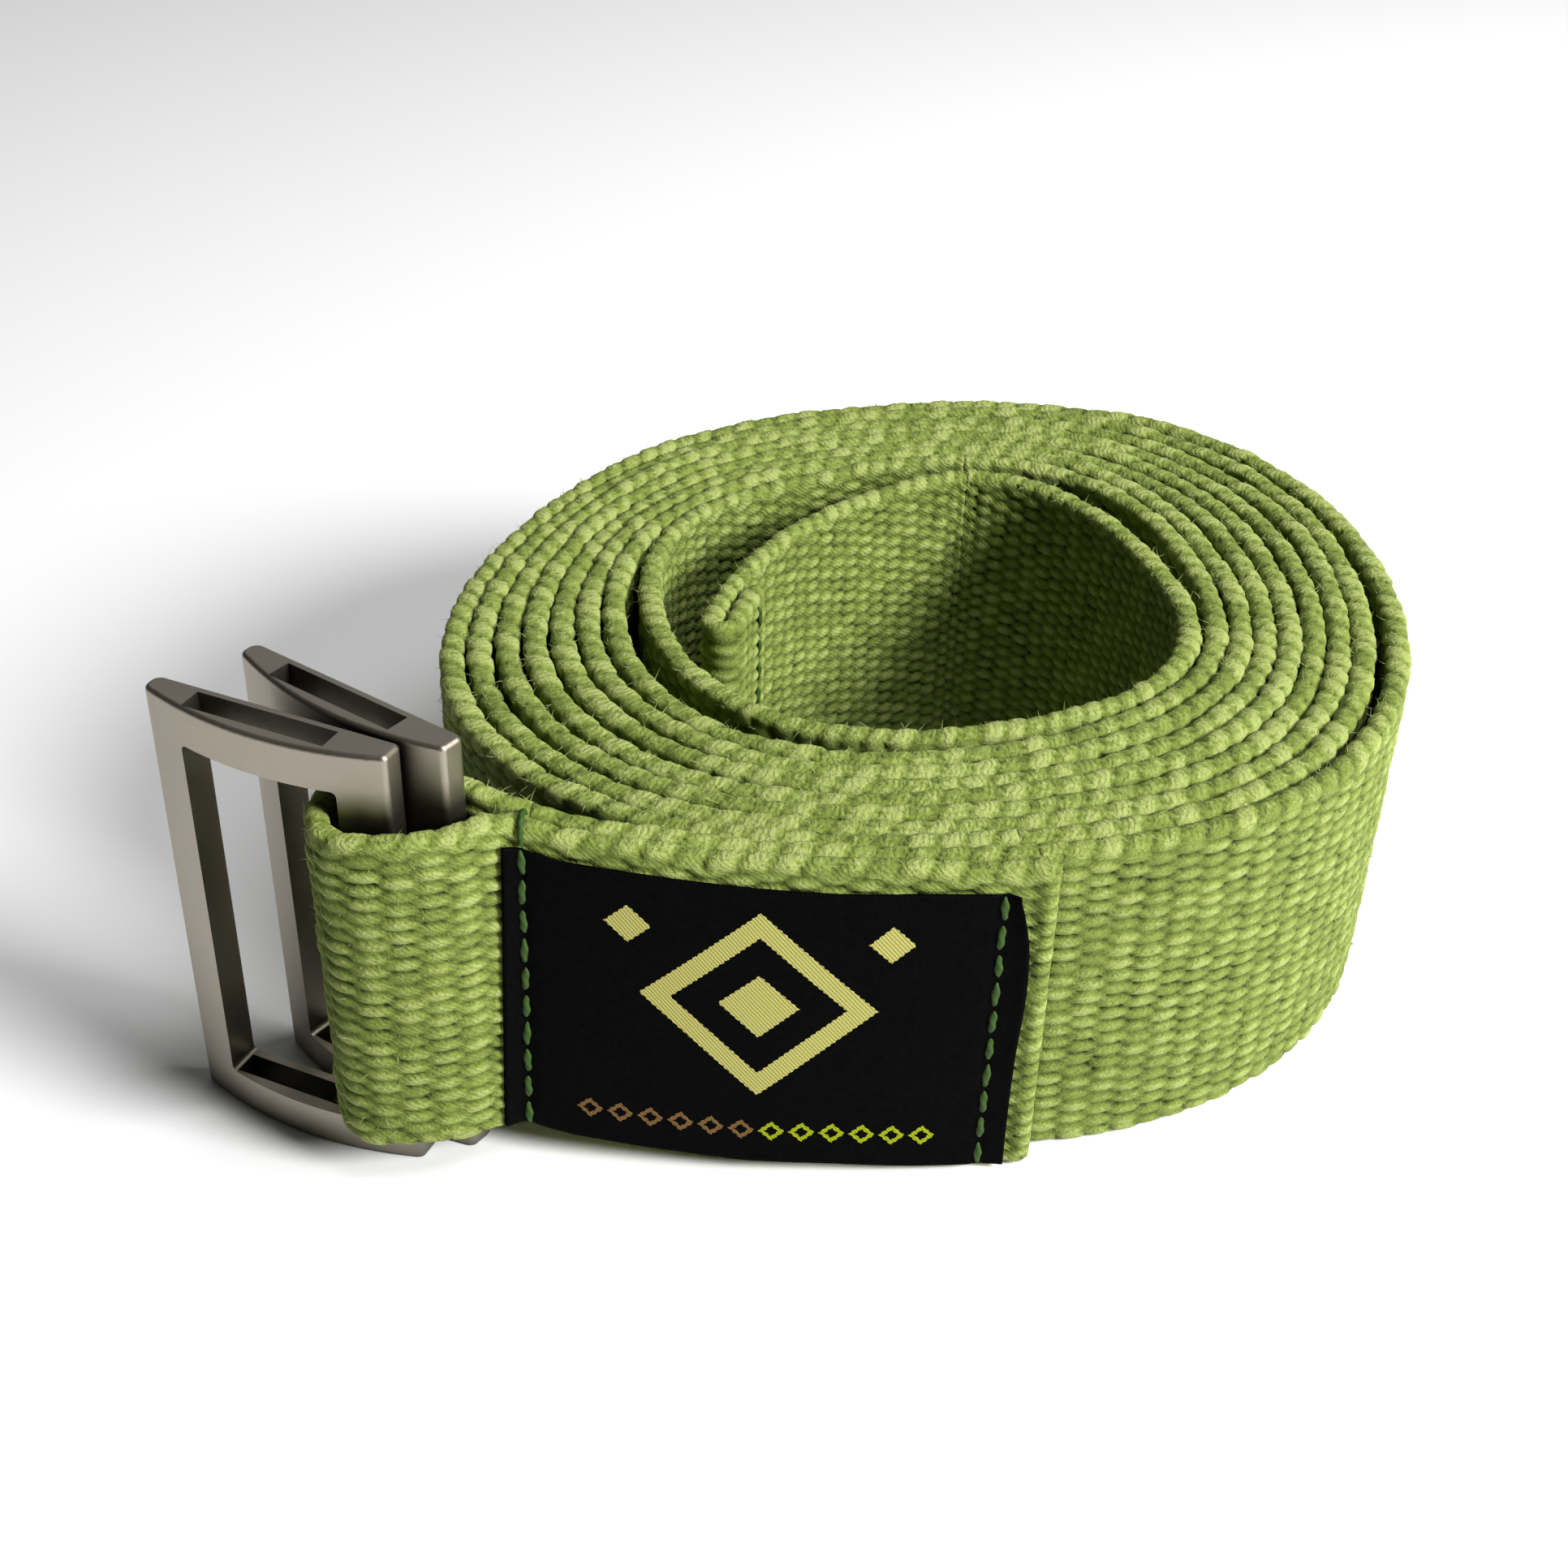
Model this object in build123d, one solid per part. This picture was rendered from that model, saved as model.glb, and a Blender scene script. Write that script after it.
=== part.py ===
"""A cotton stretching strap, rolled into a coil that stands on its edge, with a double ring cinch.

Millimetres. +Z is up and the strap stands on Z = 0. The origin is under the middle of the whole
object. The front, where the label is, faces -Y. Most sizes below are measured from the coil's
upright centre line, and everything is moved to the origin at the end.
"""
from build123d import *
from math import atan2, cos, degrees, radians, sin
import os

# Webbing
WEB_WIDTH = 38.0            # one and a half inches
WEB_THICK = 2.0             # as the turns press it, with room between them

# Coil: a spiral, clockwise from above, from the crease at its back out to the front. Its radius
# runs evenly from the first turn's outline to the last one's. An outline is a mean radius, and
# then lobes: how many, the direction of the first in degrees, and how much they add.
CREASE_ANGLE = 80.0
COIL_TURNS = 8.435
FIRST_OUTLINE = (29.9, ((1, -123.0, 1.5), (2, 50.0, 1.4), (3, -43.0, 0.35), (4, -27.0, 0.9)))
LAST_OUTLINE = (51.9, ((1, -84.0, 2.5), (2, 36.0, 3.7), (3, -36.0, 1.0), (4, 41.0, 1.4)))
LOOSE_ANGLE = 50.0          # the innermost turn lies away from the next one here, and opposite
LOOSE_TURNS = 0.8333        # which ends here, where it lies against the next one
LOOSE_GAP = 2.2
SPLINE_STEP = 10.0          # degrees between the points of the spiral

# Length of the arcs that shape a strip's two faces
COIL_STEP = 15.0
END_STEP = 3.0
TAIL_STEP = 1.2

# Sewn end: the outer turn runs on to the left, round the rings' bars, and folds back on itself
PEEL_GAP = 0.35             # between the end of the coil and the start of the sewn end
RUN_MIDDLE = (-14.0, -51.75)
RUN_END = (-39.0, -50.25)   # at the seam that closes the loop
LAYER_GAP = 0.15            # between the fold-back and the run behind it
LOOP_POINTS = (             # middle of the webbing round the rings' bars
    (-44.2, -49.1), (-49.4, -46.4), (-55.2, -47.2), (-58.4, -51.9),
    (-56.6, -56.7), (-51.0, -57.3), (-45.2, -55.4),
)
FLAP_LENGTH = 48.5          # of the fold-back, to the middle of its ridge
RIDGE_RADIUS = 1.5          # the fold-back's end is rounded and a little thicker
RISE_POINTS = ((-18.0, 1.0), (-36.0, 2.8))      # X and height of the sewn end's bottom edge
RISE_START_X = 6.0          # to the right of this it stands on the floor
LOOP_RISE = 4.8             # and the loop is carried by the rings' lower rails
LOOP_RISE_X = -44.0
LEVEL_LENGTH = 20.0         # of the level stretch drawn past each end of the rise
CUT_REACH = 80.0            # a cutting shape this deep goes right through any piece

# Label and seams
LABEL_LENGTH = 50.0
LABEL_HEIGHT = 34.4
LABEL_THICK = 0.5
LABEL_GAP = 0.03
LABEL_INSET = 1.7           # from the middle of the ridge to the label's right end
LABEL_BOTTOM = 0.8          # above the webbing's bottom edge
SEAM_LEFT_INSET = 2.8       # of each seam from its end of the label
SEAM_RIGHT_INSET = 2.5
THREAD_RADIUS = 0.3
STITCH_PITCH = 3.5
STITCH_LENGTH = 2.55
STITCH_COUNT = 10
STITCH_ROUND = 0.35
SEAM_HEIGHT = (STITCH_COUNT - 1) * STITCH_PITCH + STITCH_LENGTH

# Tail: the free end, which leaves the coil at the crease and bends across the eye
TAIL_START = (3.9, 27.3)
TAIL_MIDDLE = (-13.0, 14.6)
TAIL_END = (-24.0, -8.9)
HEM_GAP = 0.3               # between the layers of the folded hem
HEM_LENGTH = 8.5
HEM_SEAM_INSET = 6.5        # from the folded edge to its row of stitches

# Rings
RING_LENGTH = 26.8
RING_HEIGHT = 49.4
RING_END_THICK = 2.75       # at the blunt end, which is in the loop
RING_MID_THICK = 4.85
RING_MID_SHARE = 0.45       # of the length, where it is thickest
RING_TIP_THICK = 2.2
RING_BAR = 4.8              # width of the two upright bars
RING_RAIL = 4.4             # height of the top and bottom rails
RING_WINDOW_CORNER = 0.6
RING_TIP_ROUND = 1.05
RING_END_ROUND = 0.65
RING_EDGE_ROUND = 0.45
SLOT_START = 6.1            # coring slots through both rails
SLOT_LENGTH = 15.4
SLOT_WIDTH = 2.6
SLOT_WALL = 0.9             # between the slot and the ring's flat back
RINGS = {                   # blunt end's back corner X, Y, and the way the ring points
    "front_ring": (-50.1, -52.55, 157.0),
    "rear_ring": (-44.7, -51.0, 145.4),
}


def outline_radius(outline, angle):
    """Radius of a lobed outline in the given direction, in degrees."""
    mean, lobes = outline
    return mean + sum(size * cos(radians(count * (angle - first))) for count, first, size in lobes)


def spiral_point(turns):
    """Point on the middle of the coil's webbing, so many turns out from the crease."""
    angle = CREASE_ANGLE - 360.0 * turns
    share = turns / COIL_TURNS
    radius = outline_radius(FIRST_OUTLINE, angle) * (1.0 - share)
    radius += outline_radius(LAST_OUTLINE, angle) * share
    if turns < LOOSE_TURNS:
        radius -= LOOSE_GAP * cos(radians(angle - LOOSE_ANGLE)) ** 2
    return Vector(radius * cos(radians(angle)), radius * sin(radians(angle)))


def beside(path, share, distance):
    """Point at a share of a path's length, moved to its right."""
    along = path % share
    return path @ share + Vector(along.Y, -along.X) * distance


def arcs_beside(path, distance, count, start, end):
    """A row of arcs that follows part of a path at a distance to its right."""
    shares = [start + (end - start) * i / (2 * count) for i in range(2 * count + 1)]
    points = [beside(path, share, distance) for share in shares]
    return [ThreePointArc(*points[2 * i : 2 * i + 3]) for i in range(count)]


def ribbon(path, thickness, height, step, start=0.0, end=1.0, shift=0.0):
    """Upright strip that follows part of a path, moved to its right by the shift."""
    count = max(1, round(path.length * (end - start) / step))
    left = arcs_beside(path, shift - thickness / 2, count, start, end)
    right = arcs_beside(path, shift + thickness / 2, count, start, end)
    ends = [Line(left[0] @ 0, right[0] @ 0), Line(left[-1] @ 1, right[-1] @ 1)]
    return extrude(make_face([*left, *right, *ends]), height)


def make_coil_path():
    """The spiral."""
    count = round(COIL_TURNS * 360.0 / SPLINE_STEP)
    return Spline(*[spiral_point(COIL_TURNS * i / count) for i in range(count + 1)])


def make_end_path(coil):
    """The sewn end: the run beside the coil, the loop, and the fold-back along the run."""
    run_start = coil @ 1 + (coil % 1) * PEEL_GAP
    run = ThreePointArc(run_start, RUN_MIDDLE, RUN_END)
    space = WEB_THICK + LAYER_GAP
    flap_radius = run.radius + space
    centre = run.arc_center
    away = (run @ 1 - centre).normalized()
    flap_start = centre + away * flap_radius
    flap_angle = degrees(atan2(away.Y, away.X))
    flap = CenterArc(centre, flap_radius, flap_angle, degrees(FLAP_LENGTH / flap_radius))
    loop = Spline(run @ 1, *LOOP_POINTS, flap_start, tangents=(run % 1, flap % 0))
    return Wire([run, loop, flap])


def make_tail_path():
    """The tail: an arc, a tight turn at the folded edge, and the hem back along the arc."""
    arc = ThreePointArc(TAIL_START, TAIL_MIDDLE, TAIL_END)
    centre = arc.arc_center
    space = WEB_THICK + HEM_GAP
    end = arc @ 1
    back = centre + (end - centre).normalized() * (arc.radius - space)
    turn = ThreePointArc(end, (end + back) / 2 + (arc % 1) * (space / 2), back)
    inner_radius = arc.radius - space
    end_angle = degrees(atan2(end.Y - centre.Y, end.X - centre.X))
    hem = CenterArc(centre, inner_radius, end_angle, -degrees(HEM_LENGTH / inner_radius))
    return Wire([arc, turn, hem])


def lifted(solid, bottom, height):
    """The part of a solid between the sewn end's rising bottom edge and the same edge above."""
    points = [(RISE_START_X, 0), *RISE_POINTS, (LOOP_RISE_X, LOOP_RISE)]
    level = (1, 0)
    rise = Spline(*reversed(points), tangents=(level, level))
    right = Line((RISE_START_X, 0), (RISE_START_X + LEVEL_LENGTH, 0))
    left = Line((LOOP_RISE_X - LEVEL_LENGTH, LOOP_RISE), (LOOP_RISE_X, LOOP_RISE))
    low = Curve() + [left, rise, right]
    high = Pos(0, height, 0) * low
    sides = (Line(low @ 0, high @ 0), Line(low @ 1, high @ 1))
    face = Plane.XZ * (Pos(0, bottom, 0) * make_face(Curve() + [low, high, *sides]))
    return solid & extrude(face, CUT_REACH, both=True)


def make_strap_end(path):
    """The sewn end of the webbing, with the ridge at the end of its fold-back."""
    strip = ribbon(path, WEB_THICK, LOOP_RISE + WEB_WIDTH, END_STEP)
    outward = beside(path, 1.0, RIDGE_RADIUS - WEB_THICK / 2)
    ridge = extrude(Pos(outward.X, outward.Y) * Circle(RIDGE_RADIUS), LOOP_RISE + WEB_WIDTH)
    return lifted(strip + ridge, 0, WEB_WIDTH)


def label_place(path):
    """Where the label starts and ends along the sewn end, as shares of its length."""
    end = path.length - LABEL_INSET
    return (end - LABEL_LENGTH) / path.length, end / path.length


def make_label(path):
    """The woven label on the front of the fold-back."""
    start, end = label_place(path)
    shift = (WEB_THICK + LABEL_THICK) / 2 + LABEL_GAP
    top = LOOP_RISE + WEB_WIDTH
    strip = ribbon(path, LABEL_THICK, top, END_STEP, start, end, shift)
    return lifted(strip, LABEL_BOTTOM, LABEL_HEIGHT)


def stitches(front, back, bottom):
    """Running stitch up a line: one thread, in turn on the front and on the back."""
    points = [Vector(front.X, front.Y, bottom)]
    for i in range(STITCH_COUNT):
        low = bottom + i * STITCH_PITCH
        high = low + STITCH_LENGTH
        points.append(Vector(front.X, front.Y, high))
        if i < STITCH_COUNT - 1:
            points.append(Vector(back.X, back.Y, high))
            points.append(Vector(back.X, back.Y, low + STITCH_PITCH))
            points.append(Vector(front.X, front.Y, low + STITCH_PITCH))
    thread = FilletPolyline(*points, radius=STITCH_ROUND)
    section = Plane(origin=thread @ 0, z_dir=thread % 0) * Circle(THREAD_RADIUS)
    return sweep(section, path=thread)


def rise_at(x):
    """Height of the sewn end's bottom edge, near enough for a row of stitches."""
    points = [(RISE_START_X, 0.0), *RISE_POINTS, (LOOP_RISE_X, LOOP_RISE)]
    for (right, low), (left, high) in zip(points, points[1:]):
        if left <= x <= right:
            return low + (high - low) * (right - x) / (right - left)
    return 0.0


def make_label_seam(path, share, depth):
    """A row of stitches through the label, the fold-back and, if deep enough, the run."""
    surface = WEB_THICK / 2 + LABEL_GAP + LABEL_THICK
    front = beside(path, share, surface)
    back = beside(path, share, surface - depth)
    bottom = rise_at(front.X) + LABEL_BOTTOM + (LABEL_HEIGHT - SEAM_HEIGHT) / 2
    return stitches(front, back, bottom)


def make_tail_seam(path):
    """The row of stitches that holds the folded hem of the tail."""
    share = 1.0 - (HEM_LENGTH - HEM_SEAM_INSET) / path.length
    front = beside(path, share, WEB_THICK / 2)
    back = beside(path, share, -WEB_THICK * 1.5 - HEM_GAP)
    return stitches(front, back, (WEB_WIDTH - SEAM_HEIGHT) / 2)


def ring_outline():
    """A ring from above: flat at the back, arched in front, thinnest at the tip."""
    thickest = (RING_LENGTH * RING_MID_SHARE, RING_MID_THICK)
    arch = Spline((0, RING_END_THICK), thickest, (RING_LENGTH, RING_TIP_THICK))
    back = Polyline(arch @ 1, (RING_LENGTH, 0), (0, 0), arch @ 0)
    outline = make_face([arch, back])
    tip = outline.vertices().group_by(Axis.X)[-1]
    outline = fillet(tip, RING_TIP_ROUND)
    blunt = outline.vertices().group_by(Axis.X)[0]
    return fillet(blunt, RING_END_ROUND)


def make_ring(corner_x, corner_y, direction):
    """A cast ring frame with a window for the webbing and a coring slot through each rail."""
    ring = extrude(ring_outline(), RING_HEIGHT)
    rims = ring.faces().sort_by(Axis.Z)
    ring = fillet(rims[0].edges() + rims[-1].edges(), RING_EDGE_ROUND)
    window_size = (RING_LENGTH - 2 * RING_BAR, RING_HEIGHT - 2 * RING_RAIL)
    window_face = Plane.XZ * RectangleRounded(*window_size, RING_WINDOW_CORNER)
    window = extrude(window_face, CUT_REACH, both=True)
    ring -= Pos(RING_LENGTH / 2, 0, RING_HEIGHT / 2) * window
    slot_x = SLOT_START + SLOT_LENGTH / 2
    slot_y = SLOT_WALL + SLOT_WIDTH / 2
    ring -= Pos(slot_x, slot_y, RING_HEIGHT / 2) * Box(SLOT_LENGTH, SLOT_WIDTH, 2 * RING_HEIGHT)
    return Pos(corner_x, corner_y) * Rot(0, 0, direction) * ring


def build():
    """All pieces by name, measured from the coil's centre line."""
    coil = make_coil_path()
    end = make_end_path(coil)
    tail = make_tail_path()
    label_start, label_end = label_place(end)
    left = label_start + SEAM_LEFT_INSET / end.length
    right = label_end - SEAM_RIGHT_INSET / end.length
    through = LABEL_THICK + LABEL_GAP + 2 * WEB_THICK + LAYER_GAP
    pieces = {
        "strap_coil": ribbon(coil, WEB_THICK, WEB_WIDTH, COIL_STEP),
        "strap_end": make_strap_end(end),
        "strap_tail": ribbon(tail, WEB_THICK, WEB_WIDTH, TAIL_STEP),
        "label": make_label(end),
        "seam_left": make_label_seam(end, left, through),
        "seam_right": make_label_seam(end, right, through),
        "seam_hem": make_tail_seam(tail),
    }
    for name, place in RINGS.items():
        pieces[name] = make_ring(*place)
    return pieces


if __name__ == "__main__":
    os.makedirs("parts", exist_ok=True)
    pieces = build()
    box = Compound(list(pieces.values())).bounding_box()
    to_origin = Pos(-(box.min.X + box.max.X) / 2, -(box.min.Y + box.max.Y) / 2)
    for name, piece in pieces.items():
        export_step(to_origin * piece, f"parts/{name}.step")
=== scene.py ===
"""Visual model of a cotton stretching strap, rolled into a coil, with a double ring cinch.

The shapes are worked out in millimetres from the coil's upright centre line, and become metres in
the frame when a mesh is made.
"""

from math import atan2, cos, pi, radians, sin

import bpy
import numpy as np
from mathutils import Matrix, Vector


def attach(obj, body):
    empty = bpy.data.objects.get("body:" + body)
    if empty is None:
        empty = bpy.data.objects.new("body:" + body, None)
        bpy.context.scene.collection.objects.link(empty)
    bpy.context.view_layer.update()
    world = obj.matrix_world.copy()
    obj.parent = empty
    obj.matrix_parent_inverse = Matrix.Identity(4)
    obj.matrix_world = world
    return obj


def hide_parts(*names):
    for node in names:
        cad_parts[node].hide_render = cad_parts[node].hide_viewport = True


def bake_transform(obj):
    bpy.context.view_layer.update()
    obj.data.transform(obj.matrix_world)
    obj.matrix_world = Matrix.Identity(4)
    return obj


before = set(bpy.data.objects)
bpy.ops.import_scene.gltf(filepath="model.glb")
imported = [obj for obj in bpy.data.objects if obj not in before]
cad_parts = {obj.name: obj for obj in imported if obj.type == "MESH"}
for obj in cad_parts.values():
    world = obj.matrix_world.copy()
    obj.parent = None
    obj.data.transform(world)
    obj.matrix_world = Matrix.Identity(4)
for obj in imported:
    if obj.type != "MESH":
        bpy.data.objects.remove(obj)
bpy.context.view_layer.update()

MM = 0.001
AXIS = np.array([11.6306, 4.9547, 0.0])     # the coil's centre line in the frame

# Webbing
WEB_WIDTH = 38.0
EDGE_ROUND = 0.9            # height of the rounded edges
PICK = 2.95                 # from one column of floats to the next, along the strap
INNER_PICK = 2.3            # the same where the tail and inner turn are pressed along
CREASE_PICK = 1.4           # and at the crease
ROW = 1.62                  # from one float to the next in a column, across the strap
RELIEF = 0.72               # depth of the weave
FINE_STEP = 0.39            # mesh spacing along the strap where a face shows
COARSE_STEP = 0.62          # and where only its edges do
ROW_STEP = 0.33             # mesh spacing across a face that shows
HIDDEN_ROWS = (0.0, 0.45, 0.9, 1.5, 2.3, 3.3, 5.0)  # mesh rows near an edge of a hidden face
EDGE_ROWS = 9               # mesh spaces round each rounded edge
FLOAT_LEVEL = 0.8           # the share of the relief that lies below the webbing's face
TOP_KEY, BOTTOM_KEY = 1, 12     # these make the bumps of the two edges differ

# Coil
CREASE_ANGLE = 80.0
COIL_TURNS = 8.435
FIRST_OUTLINE = (29.9, ((1, -123.0, 1.5), (2, 50.0, 1.4), (3, -43.0, 0.35), (4, -27.0, 0.9)))
LAST_OUTLINE = (51.9, ((1, -84.0, 2.5), (2, 36.0, 3.7), (3, -36.0, 1.0), (4, 41.0, 1.4)))
COIL_START = 0.004          # turns from the crease to the first point drawn
COIL_POINTS = 12000
LOOSE_ANGLE = 50.0          # the innermost turn stands off the next, most here and opposite
LOOSE_TURNS = 0.8333        # it does so for this many turns from the crease
LOOSE_GAP = 2.2
BULGE_ANGLE = -12.0         # the outermost turn stands off the others here
BULGE_START = 8.0           # turns from the crease
BULGE = 1.0
THICKEST, THINNEST = 2.5, 2.12
THICK_EASE = 9.0            # how gradually the thickness changes at the coil's two ends
CREASE_EASE = 0.9           # how far the corner at the crease is rounded off

# Sewn end
WEB_THICK = 2.3
RUN_START = (11.42, -49.44)
RUN_MIDDLE = (-14.0, -51.75)
RUN_END = (-39.0, -50.25)
LOOP_POINTS = (             # middle of the webbing round the rings' bars
    (-44.2, -49.1), (-49.4, -46.4), (-55.2, -47.2), (-58.4, -51.9),
    (-56.6, -56.7), (-51.0, -57.3), (-45.2, -55.4),
)
LOOP_MIDDLE = (-51.5, -51.8)    # about the middle of the space inside the loop
LOOP_CORNER = (-44.5, -44.0)    # the loop is left of this and in front of it
RUN_TUCK = 3.0              # the coil's last piece ends this far under the flap, out of sight
FLAP_OFFSET = 2.25          # from the middle of the run to the middle of the flap
FLAP_LENGTH = 50.2
FLAP_RIDGE = 0.9            # how much thicker the flap's raw end is
HEM_RIDGE = 0.3             # and the hem's
RIDGE_INSET = 1.6           # from a raw end to where it is thickest
RAW_ROUND = 0.9             # how far a raw end is rounded
RISE_START = 2.0            # the rise counts from this far before the run
RISE = ((-64.0, 4.8), (-44.0, 4.8), (-36.0, 2.8), (-18.0, 1.0), (6.0, 0.0), (14.0, 0.0))

# Tail
TAIL_START = (3.9, 27.3)
TAIL_MIDDLE = (-13.0, 14.6)
TAIL_END = (-24.0, -8.9)
TURN_RADIUS = 1.3           # of the fold at the tail's hem
HEM_LENGTH = 8.5
HEM_SEAM = 6.0              # from the fold to the hem's seam

# Label and stitches
LABEL_LENGTH = 50.0
LABEL_INSET = 3.2           # from the flap's end to the label's right end
LABEL_LOW, LABEL_HIGH = 0.8, 35.2
LABEL_THICK = 0.4
LABEL_STAND = 0.5           # from the webbing's face to the label's front
LABEL_GRID = (150, 110)     # mesh points along and up the label
LABEL_SPAN = (-44.5, 9.0)   # no fluff between these X, this far forward: it would hide the label
LABEL_BACK = -50.6
FLUFF_CLEAR = 1.2           # nor up to this far above the label
STITCH_PITCH = 3.5
STITCH_LENGTH = 2.75
STITCH_COUNT = 10
STITCH_RADIUS = 0.36
LABEL_STITCH_STAND = 0.36   # from the webbing's face to the middle of a stitch on the label
HEM_STITCH_STAND = 0.02     # and on the hem
WRAP_RADIUS = 0.3
LEFT_SEAM, RIGHT_SEAM = 2.8, 2.5    # from the label's ends
LEFT_LEAN, RIGHT_LEAN = 0.07, 0.03  # how far each stitch stands to the right of the one below

# Label motif, along and up the label
MOTIF_MIDDLE = (25.0, 20.4)
MOTIF_SIZE = 11.4           # from its middle to its corners
DOT_PLACE = (12.4, 28.6)    # the first is measured from the motif's middle
DOT_SIZE = 2.2
BAND_ENDS = (7.0, 43.0)
BAND_HEIGHT = 4.2
BAND_PITCH = 3.0

# Loose fibres
COIL_FIBRES, END_FIBRES = 11000, 900
FIBRE_LENGTHS = (0.3, 1.1)
FIBRE_RADIUS = 0.045
FIBRE_RINGS, FIBRE_SIDES = 4, 3

# Stage: places and light sizes in metres, angles in degrees
FLOOR_HALF = 3000.0         # millimetres
FLOOR_GAP = 0.02            # no webbing or fibre comes lower than this, in millimetres
CAMERA_PLACE = (-0.00395, -0.21076, 0.1602)
CAMERA_LENS = 50.31         # millimetres, on a sensor of this width
CAMERA_SENSOR = 36.0
CAMERA_DOWN = 34.95         # below level
CAMERA_ROLL = 1.67
AMBIENT = 0.04
LIGHT_TARGET = (0, 0, 0.02)
LIGHTS = {                  # place, size, and power in watts
    "key": ((0.66, -0.36, 0.46), 0.3, 14.0),
    "top": ((0.36, -0.06, 0.75), 0.5, 4.4),
    "back": ((-0.1, 1.0, 0.75), 1.2, 1.2),
}


# ---- curves in plan -------------------------------------------------------------------------


def outline_radius(outline, angle):
    """Radius of a lobed outline in the given directions, in degrees."""
    mean, lobes = outline
    return mean + sum(size * np.cos(np.radians(n * (angle - first))) for n, first, size in lobes)


def spiral(turns):
    """Points on the middle of the coil's webbing, so many turns out from the crease."""
    angle = CREASE_ANGLE - 360.0 * turns
    share = turns / COIL_TURNS
    radius = outline_radius(FIRST_OUTLINE, angle) * (1 - share)
    radius = radius + outline_radius(LAST_OUTLINE, angle) * share
    loose = LOOSE_GAP * np.cos(np.radians(angle - LOOSE_ANGLE)) ** 2
    radius = radius - np.where(turns < LOOSE_TURNS, loose, 0.0)
    off = np.radians(angle - BULGE_ANGLE)
    bulge = BULGE * np.maximum(np.cos(2 * off), 0) ** 2 * (np.cos(off) > 0)
    radius = radius + np.where(turns > BULGE_START, bulge, 0.0)
    return np.stack([radius * np.cos(np.radians(angle)), radius * np.sin(np.radians(angle))], 1)


def webbing_thickness(points):
    """How thick the webbing is at places in the coil: as thick as the turns leave room for."""
    angle = np.degrees(np.arctan2(points[:, 1], points[:, 0]))
    pitch = outline_radius(LAST_OUTLINE, angle) - outline_radius(FIRST_OUTLINE, angle)
    return np.clip(pitch / COIL_TURNS - 0.02, THINNEST, THICKEST)


def smooth_line(points, start, end, count=600):
    """A cubic spline through points, with given directions at its ends."""
    points = np.array(points, float)
    knots = np.r_[0, np.cumsum(np.hypot(*np.diff(points, axis=0).T))]
    last = len(points) - 1
    gaps = np.diff(knots)
    system = np.zeros((last + 1, last + 1))
    right = np.zeros((last + 1, 2))
    system[0, 0] = system[last, last] = 1
    right[0], right[last] = start, end
    for i in range(1, last):
        low, high = 1 / gaps[i - 1], 1 / gaps[i]
        system[i, i - 1 : i + 2] = low, 2 * (low + high), high
        right[i] = 3 * ((points[i] - points[i - 1]) * low**2 + (points[i + 1] - points[i]) * high**2)
    slopes = np.linalg.solve(system, right)
    at = np.linspace(0, knots[-1], count)
    i = np.clip(np.searchsorted(knots, at, side="right") - 1, 0, last - 1)
    gap = gaps[i][:, None]
    u = (at - knots[i])[:, None] / gap
    places = (1 + 2 * u) * (1 - u) ** 2 * points[i] + u**2 * (3 - 2 * u) * points[i + 1]
    return places + gap * u * (1 - u) * ((1 - u) * slopes[i] - u * slopes[i + 1])


def circle_through(a, b, c):
    """Centre and radius of the circle through three points."""
    a, b, c = (np.array(p, float) for p in (a, b, c))
    right = [(b @ b - a @ a) / 2, (c @ c - a @ a) / 2]
    centre = np.linalg.solve(np.array([b - a, c - a]), np.array(right))
    return centre, float(np.hypot(*(a - centre)))


def arc(centre, radius, first, last, count=200):
    """Points on an arc between two directions, in radians."""
    at = np.linspace(first, last, count)
    return centre + radius * np.stack([np.cos(at), np.sin(at)], 1)


def bearing(point, centre):
    """Direction of a point from a centre, in radians."""
    return atan2(point[1] - centre[1], point[0] - centre[0])


def tail_lines():
    """The hem's turned-in layer, its fold, and the tail as far as the crease."""
    centre, radius = circle_through(TAIL_START, TAIL_MIDDLE, TAIL_END)
    first, last = bearing(TAIL_END, centre), bearing(TAIL_START, centre)
    inner = radius - 2 * TURN_RADIUS
    fold_centre = centre + (radius - TURN_RADIUS) * np.array([cos(first), sin(first)])
    hem = arc(centre, inner, first - HEM_LENGTH / inner, first)
    fold = arc(fold_centre, TURN_RADIUS, first + pi, first)
    return [hem, fold, arc(centre, radius, first, last)]


def end_lines():
    """The sewn run over the coil, the loop for the rings, and the flap folded back on the run."""
    centre, radius = circle_through(RUN_START, RUN_MIDDLE, RUN_END)
    first, last = bearing(RUN_START, centre), bearing(RUN_END, centre)
    outer = radius + FLAP_OFFSET
    flap = arc(centre, outer, last, last + FLAP_LENGTH / outer)
    leaving = (sin(last), -cos(last))
    returning = (-sin(last), cos(last))
    loop = smooth_line([RUN_END, *LOOP_POINTS, flap[0]], leaving, returning)
    return [arc(centre, radius, first, last), loop, flap]


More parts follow.
